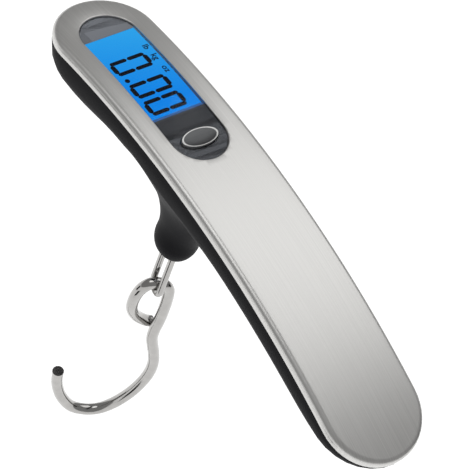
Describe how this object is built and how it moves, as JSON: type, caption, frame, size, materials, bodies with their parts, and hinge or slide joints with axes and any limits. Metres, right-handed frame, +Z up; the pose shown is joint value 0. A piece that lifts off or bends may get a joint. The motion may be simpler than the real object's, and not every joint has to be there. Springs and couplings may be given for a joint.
{
  "type": "digital luggage scale",
  "caption": "Hand-held digital luggage scale: arched steel-faced handle with a backlit display and button, and a wire hook on a swivelling link.",
  "frame": {"origin": "crown of the steel face at mid-length, where the hand closes round the handle", "axes": "+X along the handle away from the display end, +Y across it, +Z up out of the face; the hook hangs towards -Z"},
  "size_m": [0.1534, 0.0309, 0.1279],
  "materials": {
    "brushed_face": "brushed along the length",
    "clear_lens": "clear polished",
    "grey_film": "dark grey print seen through the lens",
    "inner_plastic": "moulded, unpainted",
    "shell_plastic": "satin black",
    "button_metal": "silver-grey, smooth",
    "pale_plastic": "moulded",
    "blue_display": "lit blue from behind",
    "guide_plastic": "milky",
    "strip_rubber": "matt",
    "board_green": "solder mask",
    "blob_black": "cast resin",
    "screw_steel": "zinc plated",
    "cell_steel": "nickel plated",
    "contact_brass": "spring brass",
    "plate_steel": "turned and plated",
    "beam_aluminium": "milled",
    "gauge_film": "foil on amber film",
    "wire_red": "wire sleeve",
    "hook_chrome": "polished"
  },
  "bodies": {
    "handle": {"face_plate": "brushed_face", "lens_panel": "clear_lens", "mask_film": "grey_film", "mid_frame": "inner_plastic", "lower_shell": "shell_plastic", "switch_body": "inner_plastic", "lcd_glass": "blue_display", "light_guide": "guide_plastic", "backlight_leds": "guide_plastic", "zebra_strips": "strip_rubber", "main_pcb": "board_green", "chip_blob": "blob_black", "pcb_screws": "screw_steel", "coin_cell": "cell_steel", "cell_contact_minus": "contact_brass", "cell_contact_plus": "contact_brass", "load_plate": "plate_steel", "plate_screws": "screw_steel", "load_cell": "beam_aluminium", "strain_gauges": "gauge_film", "gauge_wires": "wire_red", "load_cell_screws": "screw_steel", "case_screws": "screw_steel"},
    "battery_door": {"battery_door": "shell_plastic"},
    "button": {"power_button": "button_metal"},
    "plunger": {"switch_plunger": "pale_plastic"},
    "stud": {"pull_stud": "plate_steel", "stud_washer": "screw_steel", "stud_nut": "screw_steel", "clevis_pin": "plate_steel"},
    "link": {"pull_link": "hook_chrome"},
    "hook": {"hook": "hook_chrome"}
  },
  "joints": [
    {"name": "button_press", "type": "slide", "parent": "handle", "child": "button", "axis": [0.0816, 0, -0.9967], "range_m": [0, 0.0004], "stiffness_N_per_m": 1500},
    {"name": "plunger_press", "type": "slide", "parent": "handle", "child": "plunger", "axis": [0.1556, 0, -0.9878], "range_m": [0, 0.0004]},
    {"name": "door_lift", "type": "slide", "parent": "handle", "child": "battery_door", "axis": [0.2056, 0, -0.9786], "range_m": [0, 0.01]},
    {"name": "stud_swivel", "type": "hinge", "parent": "handle", "child": "stud", "pos_m": [-0.014, 0, -0.02], "axis": [0, 0, 1], "continuous": true},
    {"name": "link_swing", "type": "hinge", "parent": "stud", "child": "link", "pos_m": [-0.014, 0, -0.0374], "axis": [0.342, 0.9397, 0], "range_deg": [-6, 19]},
    {"name": "hook_swing", "type": "hinge", "parent": "link", "child": "hook", "pos_m": [-0.01147, -0.00092, -0.05994], "axis": [0.9136, -0.4067, 0], "range_deg": [-45, 30]}
  ],
  "couplings": [
    {"joint": "plunger_press", "follows": "button_press", "ratio": 1}
  ]
}
